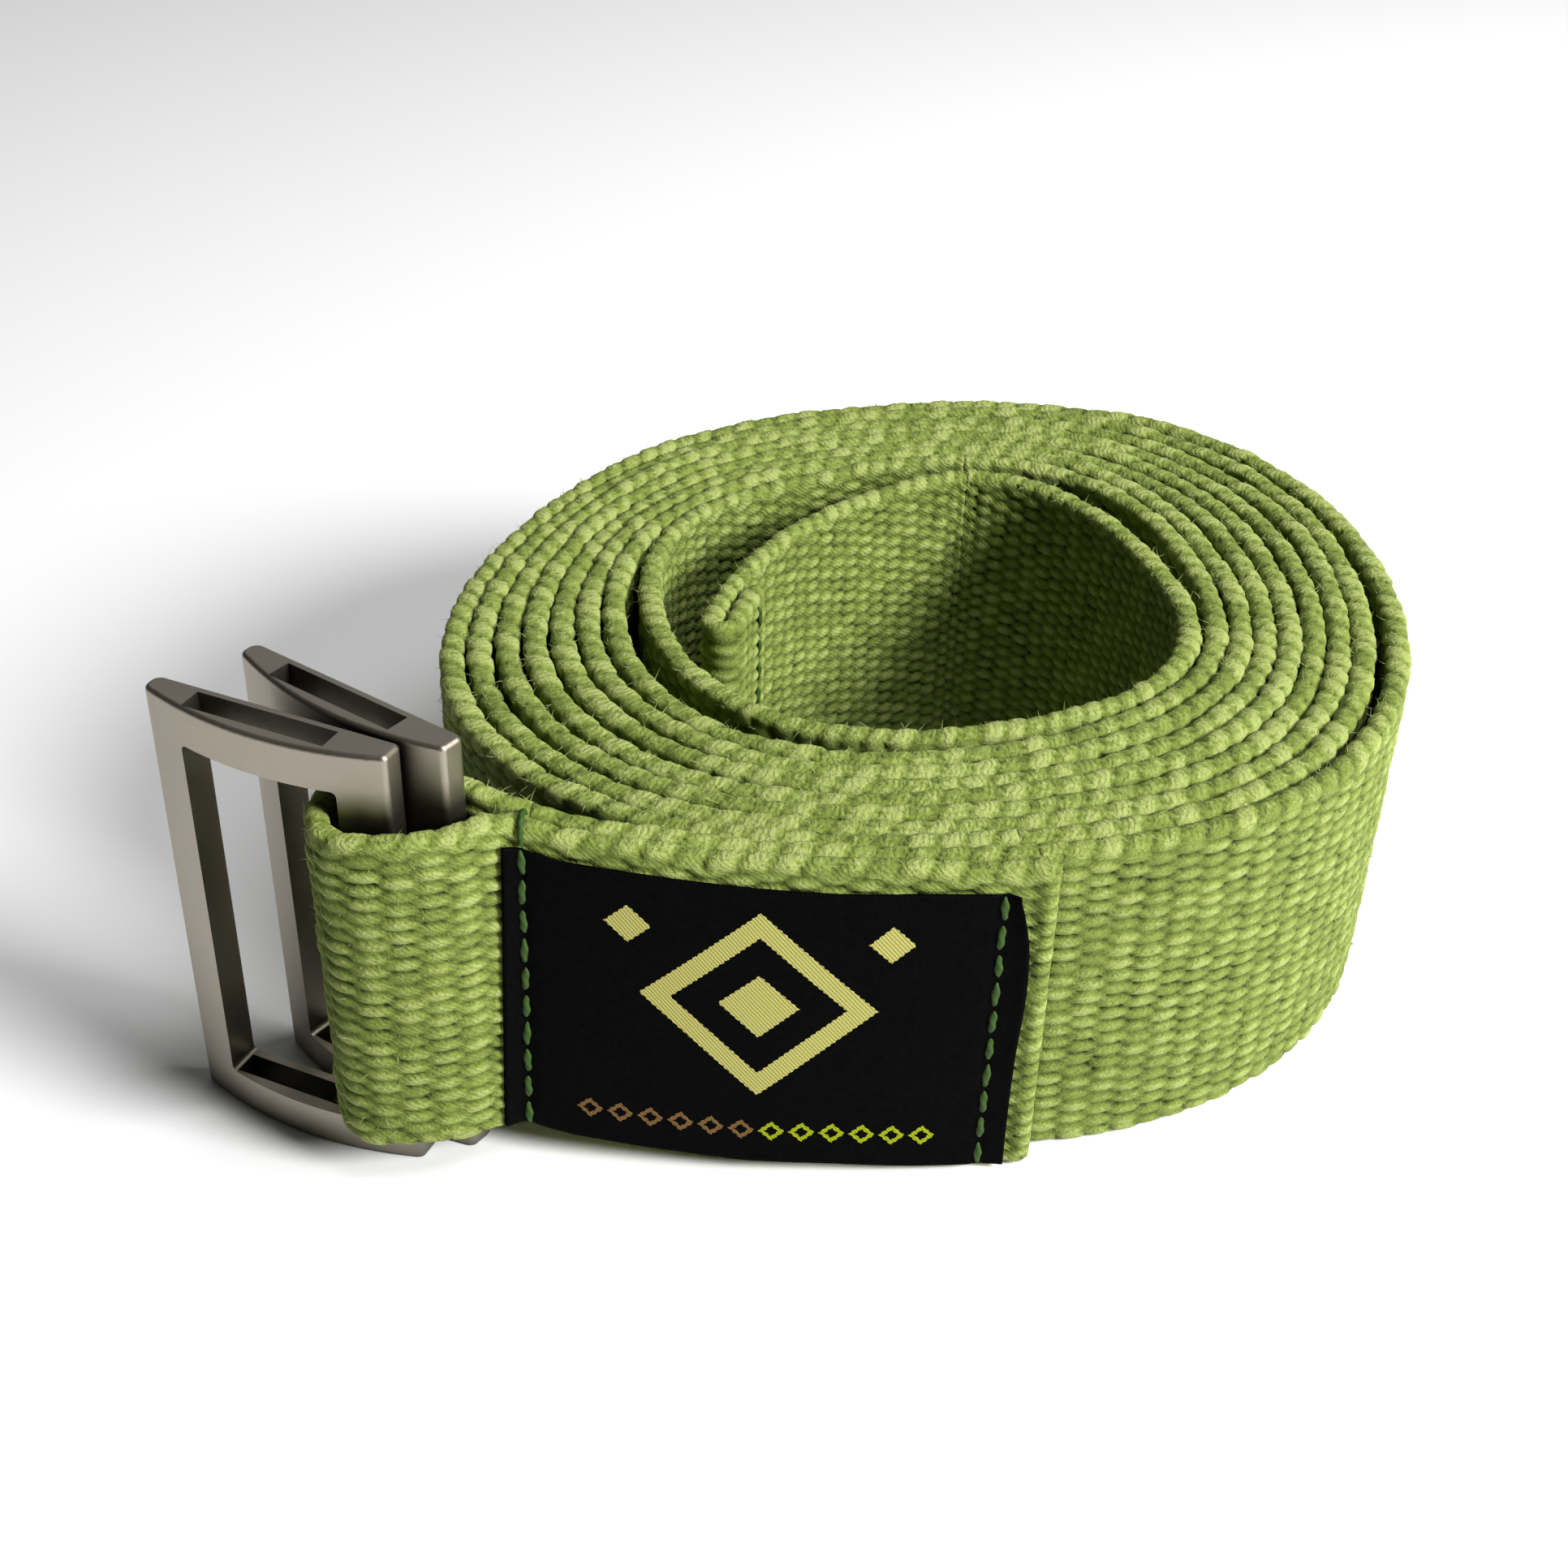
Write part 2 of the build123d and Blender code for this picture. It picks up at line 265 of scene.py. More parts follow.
class Strap:
    """The whole strap's middle line in plan, from the tail's raw end to the flap's raw end."""

    def __init__(self, spacing=0.1):
        self.coil_turns = np.linspace(COIL_START, COIL_TURNS, COIL_POINTS)
        lines = [*tail_lines(), spiral(self.coil_turns), *end_lines()]
        names = ["hem", "fold", "tail", "coil", "run", "loop", "flap"]
        points = np.concatenate(lines)
        steps = np.hypot(*np.diff(points, axis=0).T)
        along = np.r_[0, np.cumsum(steps)]
        firsts = np.cumsum([0] + [len(line) for line in lines[:-1]])
        self.begin = {name: along[i] for name, i in zip(names, firsts)}
        self.length = along[-1]
        coil_first = firsts[names.index("coil")]
        self.coil_along = along[coil_first : coil_first + COIL_POINTS]
        keep = np.r_[True, steps > 1e-9]
        self.at = np.arange(0, self.length, spacing)
        line = np.stack([np.interp(self.at, along[keep], points[keep, k]) for k in (0, 1)], 1)
        self.line = self.eased(line, self.begin["coil"], CREASE_EASE, spacing)
        tangent = np.gradient(self.line, axis=0)
        tangent /= np.hypot(*tangent.T)[:, None]
        self.normal = np.stack([-tangent[:, 1], tangent[:, 0]], 1)
        self.picks = np.cumsum(spacing / self.pick_lengths())

    def eased(self, line, where, size, spacing):
        """The line with the corner at one place rounded off."""
        reach = int(4 * size / spacing)
        weights = np.exp(-0.5 * (np.arange(-reach, reach + 1) * spacing / size) ** 2)
        weights /= weights.sum()
        middle = int(where / spacing)
        part = slice(middle - 2 * reach, middle + 2 * reach)
        near = np.clip(1.6 - np.abs(self.at[part] - where) / (3 * size), 0, 1)[:, None]
        rounded = np.stack([np.convolve(line[:, k], weights, "same")[part] for k in (0, 1)], 1)
        eased = line.copy()
        eased[part] = line[part] * (1 - near) + rounded * near
        return eased

    def pick_lengths(self):
        """How long each column of floats is, along the strap."""
        crease, turn = self.begin["coil"], self.at_turn(1.0)
        stops = [0, crease - 4, crease - 1.5, crease + 1.5, crease + 4, turn, turn + 60]
        sizes = [INNER_PICK] * 2 + [CREASE_PICK] * 2 + [INNER_PICK] * 2 + [PICK]
        return np.interp(self.at, stops, sizes)

    def at_turn(self, turns):
        """Distance along the strap to a place in the coil."""
        return float(np.interp(turns, self.coil_turns, self.coil_along))

    def sample(self, values, at):
        """Values known along the whole strap, at some distances."""
        if values.ndim == 1:
            return np.interp(at, self.at, values)
        return np.stack([np.interp(at, self.at, values[:, k]) for k in range(values.shape[1])], 1)

    def place(self, at):
        """Middle point and left normal at some distances."""
        at = np.atleast_1d(at)
        return self.sample(self.line, at), self.sample(self.normal, at)

    def thickness(self, at):
        """How thick the webbing is: it swells and then rounds off at both raw ends."""
        points, _ = self.place(at)
        inside = np.minimum(at - self.begin["coil"], self.begin["run"] - at)
        share = np.clip(inside / THICK_EASE, 0, 1)
        share = share * share * (3 - 2 * share)
        thick = WEB_THICK + (webbing_thickness(points) - WEB_THICK) * share
        for end, ridge in ((0.0, HEM_RIDGE), (self.length, FLAP_RIDGE)):
            off = np.abs(at - end)
            thick = thick + ridge * np.exp(-((off - RIDGE_INSET) ** 2))
            thick = thick * np.sqrt(np.clip(1 - (1 - off / RAW_ROUND).clip(0) ** 2, 0.05, 1))
        return thick

    def lift(self, at):
        """Height of the webbing's lower edge: the sewn end rises towards its loop."""
        points, _ = self.place(at)
        x, z = zip(*RISE)
        rise = np.interp(points[:, 0], x, z)
        return np.where(at > self.begin["run"] - RISE_START, rise, 0.0)


# ---- the weave ------------------------------------------------------------------------------


def scatter(a, b):
    """A repeatable number from 0 to 1 for each pair of whole numbers."""
    value = np.sin(a * 12.9898 + b * 78.233) * 43758.5453
    return value - np.floor(value)


def wander(at, size, key):
    """Smooth repeatable noise from -1 to 1 along a line."""
    cell = np.floor(at / size)
    u = at / size - cell
    u = u * u * (3 - 2 * u)
    low, high = scatter(cell, key), scatter(cell + 1, key)
    return 2 * (low + (high - low) * u) - 1


def weave(picks, across):
    """Height of the weave, 0 to 1: floats laid like bricks, with pits between their ends."""
    best = np.zeros(np.shape(picks))
    for step in (-1, 0, 1):
        column = np.floor(picks) + step
        row = across / ROW + 0.5 * np.mod(column, 2) + 0.12 * (scatter(column, 5) - 0.5)
        nearest = np.floor(row)
        jitter = scatter(column, nearest)
        along = picks - column - 0.5 + 0.16 * (jitter - 0.5)
        side = row - nearest - 0.5
        lens = 1 - (along / 0.7) ** 2 - (side / 0.54) ** 2
        size = 0.8 + 0.3 * scatter(nearest, column + 7)
        best = np.maximum(best, size * np.sqrt(np.maximum(lens, 0)))
    return best


def edge_twist(picks, turn, key):
    """Height of the edge, 0 to 1: bumps that slant over it like a rope's, with notches."""
    phase = picks + 0.55 * turn + 0.1 * wander(picks, 1.7, key + 5)
    bump = np.floor(phase)
    off = np.abs(phase - bump - 0.5) / 0.52
    size = 0.72 + 0.4 * scatter(bump, key)
    rough = 0.16 * wander(picks * 7 + turn * 2.3, 1.0, np.round(turn * 6) + key)
    return size * np.sqrt(np.maximum(1 - off**3.6, 0)) + rough * np.sin(pi * turn)


def section_rows(front_fine, back_fine):
    """Rows round the webbing's section: which side, and the height or share of the edge."""
    fine = np.arange(EDGE_ROUND, WEB_WIDTH - EDGE_ROUND + 0.01, ROW_STEP)
    near = np.array(HIDDEN_ROWS)
    hidden = np.r_[EDGE_ROUND + near, WEB_WIDTH / 2, (WEB_WIDTH - EDGE_ROUND - near)[::-1]]
    edge = [i / EDGE_ROWS for i in range(1, EDGE_ROWS)]
    rows = [("front", w) for w in (fine if front_fine else hidden)]
    rows += [("top", u) for u in edge]
    rows += [("back", w) for w in (fine if back_fine else hidden)[::-1]]
    rows += [("bottom", u) for u in edge]
    return rows


def face_row(thick, picks, side, across):
    """Distance out from the middle, and relief, along one row of a face."""
    relief = weave(picks, across)
    near_edge = min(across, WEB_WIDTH - across) - EDGE_ROUND
    share = float(np.clip(1 - near_edge / EDGE_ROUND, 0, 1))
    rim = edge_twist(picks, 0.0 if side > 0 else 1.0, TOP_KEY)
    relief = relief * (1 - share) + rim * share
    return side * (thick / 2 - RELIEF * (FLOAT_LEVEL - relief)), relief


def edge_row(thick, picks, share, top):
    """Distance out, height and relief along one row of a rounded edge."""
    turn = share if top else 1 - share
    relief = edge_twist(picks, turn, TOP_KEY if top else BOTTOM_KEY)
    round_out = sin(pi * turn) ** 0.8
    out = cos(pi * turn) * (thick / 2 - RELIEF * (FLOAT_LEVEL - relief))
    rise = EDGE_ROUND * round_out - 0.6 * RELIEF * (1 - relief) * round_out
    height = WEB_WIDTH - EDGE_ROUND + rise if top else EDGE_ROUND - rise
    return out, height, relief


def webbing(name, strap, first, last, step, front_fine, back_fine):
    """A woven piece of the strap between two distances along it.

    Its points carry "strip": mm along, mm across, and the weave's height from 0 to 1."""
    at = np.linspace(first, last, round((last - first) / step) + 1)
    line, normal = strap.place(at)
    thick, lift = strap.thickness(at), strap.lift(at)
    picks = strap.sample(strap.picks, at)
    sag = 0.3 * wander(at, 23.0, 1) + 0.16 * wander(at, 6.0, 4) - 0.15
    rows = section_rows(front_fine, back_fine)
    places = np.zeros((len(at), len(rows), 3))
    strip = np.zeros((len(at), len(rows), 3))
    for j, (side, value) in enumerate(rows):
        if side in ("front", "back"):
            sign = 1 if side == "front" else -1
            height = np.full(len(at), value)
            out, relief = face_row(thick, picks + (sign < 0) * 7, sign, value)
        else:
            out, height, relief = edge_row(thick, picks, value, side == "top")
        places[:, j, :2] = line + normal * out[:, None]
        places[:, j, 2] = np.maximum(height + sag * (height / WEB_WIDTH) ** 2 + lift, FLOOR_GAP)
        strip[:, j] = np.stack([at, height, relief], 1)
    piece = tube_object(name, places, strip)
    return piece


# ---- meshes ---------------------------------------------------------------------------------


def mesh_object(name, points, quads, triangles=(), strip=None):
    """A mesh object from points in millimetres from the coil's centre line.

    The quads are shaded smooth and the triangles, which cap cut ends, flat."""
    places = (np.asarray(points, float) + AXIS) * MM
    quads = np.asarray(quads, np.int32).reshape(-1, 4)
    triangles = np.asarray(triangles, np.int32).reshape(-1, 3)
    starts = np.r_[np.arange(len(quads)) * 4, len(quads) * 4 + np.arange(len(triangles)) * 3]
    corners = np.r_[quads.ravel(), triangles.ravel()]
    mesh = bpy.data.meshes.new(name)
    mesh.vertices.add(len(places))
    mesh.vertices.foreach_set("co", places.ravel())
    mesh.loops.add(len(corners))
    mesh.loops.foreach_set("vertex_index", corners.astype(np.int32))
    mesh.polygons.add(len(starts))
    mesh.polygons.foreach_set("loop_start", starts.astype(np.int32))
    mesh.polygons.foreach_set("use_smooth", np.arange(len(starts)) < len(quads))
    mesh.update(calc_edges=True)
    if strip is not None:
        attribute = mesh.attributes.new("strip", "FLOAT_VECTOR", "POINT")
        attribute.data.foreach_set("vector", np.asarray(strip, np.float32).ravel())
    piece = bpy.data.objects.new(name, mesh)
    bpy.context.scene.collection.objects.link(piece)
    return piece


def cap(ring):
    """Triangles over a closed ring of points, laid from side to side like a ladder's rungs.

    Laid like this they stay inside the section, however deep the pits in its faces are."""
    order = (int(np.argmin(ring[:, 2])) + np.arange(len(ring))) % len(ring)
    height = ring[order, 2]
    left, right = 0, len(ring) - 1
    triangles = []
    while right - left > 1:
        if height[left + 1] <= height[right - 1]:
            triangles.append((left, left + 1, right))
            left += 1
        else:
            triangles.append((left, right - 1, right))
            right -= 1
    return order[np.array(triangles)]


def tube_object(name, places, strip):
    """A closed tube through rings of points, capped at both ends."""
    count, around = places.shape[:2]
    i, j = np.meshgrid(np.arange(count - 1), np.arange(around), indexing="ij")
    k = (j + 1) % around
    quads = np.stack([i * around + j, i * around + k, (i + 1) * around + k, (i + 1) * around + j], -1)
    far = (count - 1) * around
    caps = np.concatenate([cap(places[0])[:, ::-1], far + cap(places[-1])])
    return mesh_object(name, places.reshape(-1, 3), quads.reshape(-1, 4), caps, strip.reshape(-1, 3))


def joined(name, parts):
    """One mesh object from several (points, quads, strip) parts."""
    points, quads, strips = [], [], []
    total = 0
    for part_points, part_quads, part_strip in parts:
        points.append(part_points)
        quads.append(np.asarray(part_quads) + total)
        strips.append(part_strip)
        total += len(part_points)
    return mesh_object(name, np.concatenate(points), np.concatenate(quads), (), np.concatenate(strips))


# ---- pieces ---------------------------------------------------------------------------------


def coil_pieces(strap):
    """The rolled webbing, cut into lengths: fine where a face shows, coarser in between."""
    turn = strap.at_turn
    cuts = {
        "coil_inner": (strap.begin["coil"], turn(1.0), FINE_STEP, False, True),
        "coil_middle_1": (turn(1.0), turn(4.7), COARSE_STEP, False, False),
        "coil_middle_2": (turn(4.7), turn(7.45), COARSE_STEP, False, False),
        "coil_outer_1": (turn(7.45), turn(7.97), FINE_STEP, True, False),
        "coil_outer_2": (turn(7.97), strap.begin["run"] + RUN_TUCK, FINE_STEP, True, False),
    }
    return [webbing(name, strap, *cut) for name, cut in cuts.items()]


def label_line(strap):
    """Middle line and outward direction of the label, along the front of the flap."""
    end = strap.length - LABEL_INSET
    at = np.linspace(end - LABEL_LENGTH, end, LABEL_GRID[0])
    line, normal = strap.place(at)
    return at, line, -normal, strap.thickness(at), strap.lift(at)


def label_shape(strap):
    """The label as a grid of points: its front and, shifted, its back."""
    at, line, out, thick, lift = label_line(strap)
    across = np.linspace(0, LABEL_HIGH - LABEL_LOW, LABEL_GRID[1])
    along = at - at[0]
    s, w = np.meshgrid(along, across, indexing="ij")
    right = LABEL_LENGTH - s
    dents = seam_dents(s - LEFT_SEAM, w) + seam_dents(right - RIGHT_SEAM, w)
    curl = 0.55 * np.exp(-((right / 0.9) ** 2)) * (0.4 + 0.6 * np.clip(w / 30, 0, 1) ** 2)
    ease = 0.08 * wander(s * 0.9 + w * 0.25, 9.0, 31) + 0.03 * wander(w, 4.0, 37)
    hem = 0.12 * np.exp(-(((s - 0.5) / 0.5) ** 2))
    off = thick[:, None] / 2 + LABEL_STAND + ease + curl + hem - 0.2 * dents
    wavy = 0.12 * wander(s, 8.0, 41) * (2 * w / across[-1] - 1)
    # The left end leans out at its foot; the right end bows out and turns in at its top.
    lean = -1.4 * (1 - w / across[-1]) * np.clip(1 - s / 6, 0, 1)
    bow = 0.5 * np.exp(-(((w - 23) / 7) ** 2)) - 1.0 * np.clip((w - 27) / 7, 0, 1) ** 2
    slide = lean + bow * np.clip(1 - right / 2.3, 0, 1)
    ahead = np.gradient(line, at, axis=0)[:, None] * slide[..., None]
    places = np.zeros((*s.shape, 3))
    places[..., :2] = line[:, None] + ahead + out[:, None] * off[..., None]
    places[..., 2] = w + wavy + LABEL_LOW + lift[:, None]
    back = places.copy()
    back[..., :2] -= out[:, None] * LABEL_THICK
    strip = np.stack([s, w, np.ones_like(s)], -1)
    return places, back, strip


def seam_dents(off, w):
    """How far the stitches of a seam pull the label in, 0 to 1."""
    beat = 0.5 - 0.5 * np.cos(2 * pi * (w - first_stitch(LABEL_HIGH - LABEL_LOW)) / STITCH_PITCH)
    return np.exp(-((off / 0.75) ** 2)) * (0.45 + 0.55 * beat)


def make_label(strap):
    """The label, with its front and back faces, sewn on the front of the flap."""
    front, back, strip = label_shape(strap)
    tall = LABEL_GRID[1]
    ring = [front[:, j] for j in range(tall)] + [back[:, j] for j in range(tall - 1, -1, -1)]
    marks = [strip[:, j] for j in range(tall)] + [strip[:, j] for j in range(tall - 1, -1, -1)]
    piece = tube_object("woven_label", np.stack(ring, 1), np.stack(marks, 1))
    return piece


def stitch_part(centre, upward, outward, length, radius, key):
    """One stitch: two strands twisted together, plump in its middle and drawn in at its ends."""
    count, around = 21, 12
    u = np.linspace(-1, 1, count)
    swell = np.sqrt(np.clip(1 - np.abs(u) ** 2.4, 0.02, 1))
    across = np.cross(upward, outward)
    turn = np.linspace(0, 2 * pi, around, endpoint=False)
    tilt = 0.12 * (scatter(key, 3) - 0.5)
    points, strips = [], []
    for k in range(count):
        twist = 2.6 * u[k] + key
        ply = 1 + 0.16 * np.cos(2 * (turn - twist))
        wide = radius * swell[k] * ply
        middle = centre + upward * (u[k] * length / 2) + outward * (0.28 * radius * (1 - u[k] ** 2))
        middle = middle + across * tilt * u[k] * length / 2
        ring = middle + np.outer(np.cos(turn) * wide, across) * 1.05
        ring = ring + np.outer(np.sin(turn) * wide * 0.75, outward)
        points.append(ring)
        strips.append(np.stack([turn * 0 + u[k] * length, turn, ply], 1))
    i, j = np.meshgrid(np.arange(count - 1), np.arange(around), indexing="ij")
    k = (j + 1) % around
    quads = np.stack([i * around + j, i * around + k, (i + 1) * around + k, (i + 1) * around + j], -1)
    quads = list(quads.reshape(-1, 4)[:, ::-1])
    for first in (0, (count - 1) * around):
        for step in range(1, around - 2, 2):
            end = (first, first + step, first + step + 1, first + step + 2)
            quads.append(end if first == 0 else end[::-1])
    return np.concatenate(points), np.array(quads), np.concatenate(strips)


def first_stitch(height):
    """How high the middle of the lowest stitch is, with the seam centred in a height."""
    return (height - (STITCH_COUNT - 1) * STITCH_PITCH) / 2


def make_seam(name, base, out, lean=0.0):
    """A row of stitches up a face, from the middle of the lowest one."""
    parts = []
    upward = np.array([0.0, 0.0, 1.0])
    outward = np.array([out[0], out[1], 0.0])
    across = np.cross(upward, outward)
    for i in range(STITCH_COUNT):
        drift = across * (lean * i + 0.1 * (scatter(i, 17) - 0.5))
        centre = np.array(base) + upward * i * STITCH_PITCH + drift
        length = STITCH_LENGTH * (0.95 + 0.15 * scatter(i, 23))
        parts.append(stitch_part(centre, upward, outward, length, STITCH_RADIUS, float(i)))
    return joined(name, parts)


def label_seam(strap, name, from_end, lean):
    """A seam near one end of the label, leaning so far to the right for each stitch."""
    at, line, out, thick, lift = label_line(strap)
    place = LABEL_LENGTH - RIGHT_SEAM if from_end == "right" else LEFT_SEAM
    i = int(np.argmin(np.abs(at - at[0] - place)))
    spot = line[i] + out[i] * (thick[i] / 2 + LABEL_STITCH_STAND)
    foot = spot[0] - lean * (STITCH_COUNT - 1)
    low = lift[i] + LABEL_LOW + first_stitch(LABEL_HIGH - LABEL_LOW)
    return make_seam(name, (foot, spot[1], low), out[i], lean)


def wrap_thread(strap):
    """The thread that goes over the webbing's top edge at the end of the left seam."""
    at, line, out, thick, lift = label_line(strap)
    i = int(np.argmin(np.abs(at - at[0] - LEFT_SEAM)))
    half = thick[i] / 2 + 0.12
    top = lift[i] + WEB_WIDTH
    turn = np.linspace(0, pi, 24)
    path = []
    for height in np.linspace(top - 2.4, top - 1.2, 6)[:-1]:
        path.append([*(line[i] + out[i] * half), height])
    for angle in turn:
        spot = line[i] + out[i] * half * cos(angle)
        path.append([*spot, top - 1.0 + 1.15 * sin(angle)])
    for height in np.linspace(top - 1.2, top - 2.4, 6)[1:]:
        path.append([*(line[i] - out[i] * half), height])
    return path


def thread_tube(name, path, radius):
    """A two-ply thread along a path."""
    path = np.array(path, float)
    tangent = np.gradient(path, axis=0)
    tangent /= np.linalg.norm(tangent, axis=1)[:, None]
    side = np.cross(tangent, np.cross(tangent, [1.0, 0.3, 0.1]) + 1e-6)
    side /= np.linalg.norm(side, axis=1)[:, None]
    other = np.cross(tangent, side)
    turn = np.linspace(0, 2 * pi, 10, endpoint=False)
    along = np.r_[0, np.cumsum(np.linalg.norm(np.diff(path, axis=0), axis=1))]
    ply = 1 + 0.16 * np.cos(2 * (turn[None] - 4.5 * along[:, None]))
    wide = (radius * ply)[..., None]
    rings = path[:, None] + wide * (
        np.cos(turn)[None, :, None] * side[:, None] + np.sin(turn)[None, :, None] * other[:, None]
    )
    strip = np.stack(np.broadcast_arrays(along[:, None], turn[None], ply), -1)
    return tube_object(name, rings, strip)


def hem_seam(strap):
    """The stitches through the tail's hem, on the side towards the eye."""
    place = strap.begin["fold"] - HEM_SEAM
    line, normal = strap.place(place)
    spot = line[0] + normal[0] * (WEB_THICK / 2 + HEM_STITCH_STAND)
    return make_seam("stitches_hem", (spot[0], spot[1], first_stitch(WEB_WIDTH)), normal[0])


def fluff_weights(places, normals):
    """How likely a fibre is to grow at each point: most along the upper edges."""
    weight = np.where(normals[:, 2] > 0.35, 1.0, 0.2)
    weight[normals[:, 2] < -0.3] = 0
    label_top = np.interp(places[:, 0], *zip(*RISE)) + LABEL_HIGH
    over_label = (places[:, 0] > LABEL_SPAN[0]) & (places[:, 0] < LABEL_SPAN[1])
    low = places[:, 2] < label_top + FLUFF_CLEAR
    weight[over_label & (places[:, 1] < LABEL_BACK) & low] = 0
    inward = np.sum((np.array(LOOP_MIDDLE) - places[:, :2]) * normals[:, :2], axis=1) > 0
    in_loop = (places[:, 0] < LOOP_CORNER[0]) & (places[:, 1] < LOOP_CORNER[1])
    weight[in_loop & inward] = 0        # pressed flat against the rings
    return weight


def fluff_roots(pieces, count, random):
    """Where the fibres grow from the pieces, and the outward directions there."""
    roots, ways = [], []
    for piece in pieces:
        mesh = piece.data
        places = np.zeros(len(mesh.vertices) * 3)
        normals = np.zeros(len(mesh.vertices) * 3)
        mesh.vertices.foreach_get("co", places)
        mesh.vertices.foreach_get("normal", normals)
        places, normals = places.reshape(-1, 3) / MM - AXIS, normals.reshape(-1, 3)
        weight = fluff_weights(places, normals)
        share = max(1, round(count / len(pieces)))
        chosen = random.choice(len(places), share, p=weight / weight.sum())
        roots.append(places[chosen])
        ways.append(normals[chosen])
    return np.concatenate(roots), np.concatenate(ways)


def fuzz(name, pieces, count, seed):
    """Loose cotton fibres that stand off the webbing: thin curved spikes in one mesh."""
    random = np.random.default_rng(seed)
    root, way = fluff_roots(pieces, count, random)
    total = len(root)
    drift = random.normal(size=(total, 3))
    length = random.uniform(*FIBRE_LENGTHS, total)[:, None]
    way = way + 0.75 * drift
    way /= np.linalg.norm(way, axis=1)[:, None]
    bend = random.normal(size=(total, 3)) * 0.8
    side = np.cross(way, bend)
    side /= np.linalg.norm(side, axis=1)[:, None] + 1e-9
    other = np.cross(way, side)
    points = np.zeros((total, FIBRE_RINGS, FIBRE_SIDES, 3))
    for k in range(FIBRE_RINGS):
        u = k / (FIBRE_RINGS - 1)
        middle = root - 0.05 * way + length * (u * way + 0.45 * u * u * bend)
        for m in range(FIBRE_SIDES):
            angle = 2 * pi * m / FIBRE_SIDES
            ring = FIBRE_RADIUS * (1.05 - u) * (cos(angle) * side + sin(angle) * other)
            points[:, k, m] = middle + ring
    points[..., 2] = np.maximum(points[..., 2], FLOOR_GAP)
    k, m = np.meshgrid(np.arange(FIBRE_RINGS - 1), np.arange(FIBRE_SIDES), indexing="ij")
    low, high = k * FIBRE_SIDES, (k + 1) * FIBRE_SIDES
    after = (m + 1) % FIBRE_SIDES
    quad = np.stack([low + m, low + after, high + after, high + m], -1).reshape(1, -1, 4)
    each = FIBRE_RINGS * FIBRE_SIDES
    quads = (np.arange(total)[:, None, None] * each + quad).reshape(-1, 4)
    return mesh_object(name, points.reshape(-1, 3), quads, (), np.ones((total * each, 3)))


# ---- materials ------------------------------------------------------------------------------


class Nodes:
    """A material's node tree, with short ways to add to it."""

    def __init__(self, name):
        self.material = bpy.data.materials.new(name)
        self.material.use_nodes = True
        self.tree = self.material.node_tree
        self.shader = self.tree.nodes["Principled BSDF"]

    def add(self, kind, **settings):
        node = self.tree.nodes.new(kind)
        for key, value in settings.items():
            setattr(node, key, value)
        return node

    def link(self, source, target):
        self.tree.links.new(source, target)

    def math(self, operation, *values):
        """A maths node on sockets and numbers."""
        node = self.add("ShaderNodeMath", operation=operation)
        for socket, value in zip(node.inputs, values):
            if isinstance(value, (int, float)):
                socket.default_value = value
            else:
                self.link(value, socket)
        return node.outputs[0]

    def mix(self, share, low, high):
        """Colours mixed by a share."""
        node = self.add("ShaderNodeMix", data_type="RGBA")
        for socket, value in ((node.inputs[0], share), (node.inputs[6], low), (node.inputs[7], high)):
            if isinstance(value, (int, float)):
                socket.default_value = value
            elif isinstance(value, tuple):
                socket.default_value = (*value, 1)
            else:
                self.link(value, socket)
        return node.outputs[2]

    def ramp(self, source, stops):
        """A colour ramp from (place, colour) pairs."""
        node = self.add("ShaderNodeValToRGB")
        elements = node.color_ramp.elements
        while len(elements) < len(stops):
            elements.new(0.5)
        for element, (place, colour) in zip(elements, stops):
            element.position = place
            element.color = (*colour, 1)
        self.link(source, node.inputs[0])
        return node.outputs[0]

    def noise(self, scale, detail=3.0, source=None, rough=0.55):
        """Noise, 0 to 1, over the places on the piece or another source."""
        node = self.add("ShaderNodeTexNoise")
        node.inputs["Scale"].default_value = scale
        node.inputs["Detail"].default_value = detail
        node.inputs["Roughness"].default_value = rough
        self.link(source or self.places(), node.inputs["Vector"])
        return node.outputs["Fac"]

    def places(self):
        """Places on the piece, in metres."""
        return self.add("ShaderNodeTexCoord").outputs["Object"]

    def strip(self):
        """(along, across, relief) of webbing, label or thread, in millimetres."""
        node = self.add("ShaderNodeAttribute", attribute_name="strip")
        split = self.add("ShaderNodeSeparateXYZ")
        self.link(node.outputs["Vector"], split.inputs[0])
        return node.outputs["Vector"], *split.outputs

    def scaled(self, vector, factors):
        """A vector multiplied by a factor in each direction."""
        node = self.add("ShaderNodeVectorMath", operation="MULTIPLY")
        self.link(vector, node.inputs[0])
        node.inputs[1].default_value = factors
        return node.outputs[0]

    def bump(self, height, distance, strength=1.0, below=None):
        """A normal bumped by a height, on top of another bump if one is given."""
        node = self.add("ShaderNodeBump")
        node.inputs["Distance"].default_value = distance
        node.inputs["Strength"].default_value = strength
        self.link(height, node.inputs["Height"])
        if below is not None:
            self.link(below, node.inputs["Normal"])
        return node.outputs[0]

    def wave(self, value, pitch):
        """A smooth wave, 0 to 1, of a distance with that pitch."""
        turned = self.math("MULTIPLY", value, 2 * pi / pitch)
        return self.math("MULTIPLY_ADD", self.math("SINE", turned), 0.5, 0.5)


def srgb(red, green, blue):
    """A colour given as 0 to 255 on a screen, as the light values that shaders use."""
    shares = [value / 255 for value in (red, green, blue)]
    return tuple(s / 12.92 if s <= 0.04045 else ((s + 0.055) / 1.055) ** 2.4 for s in shares)


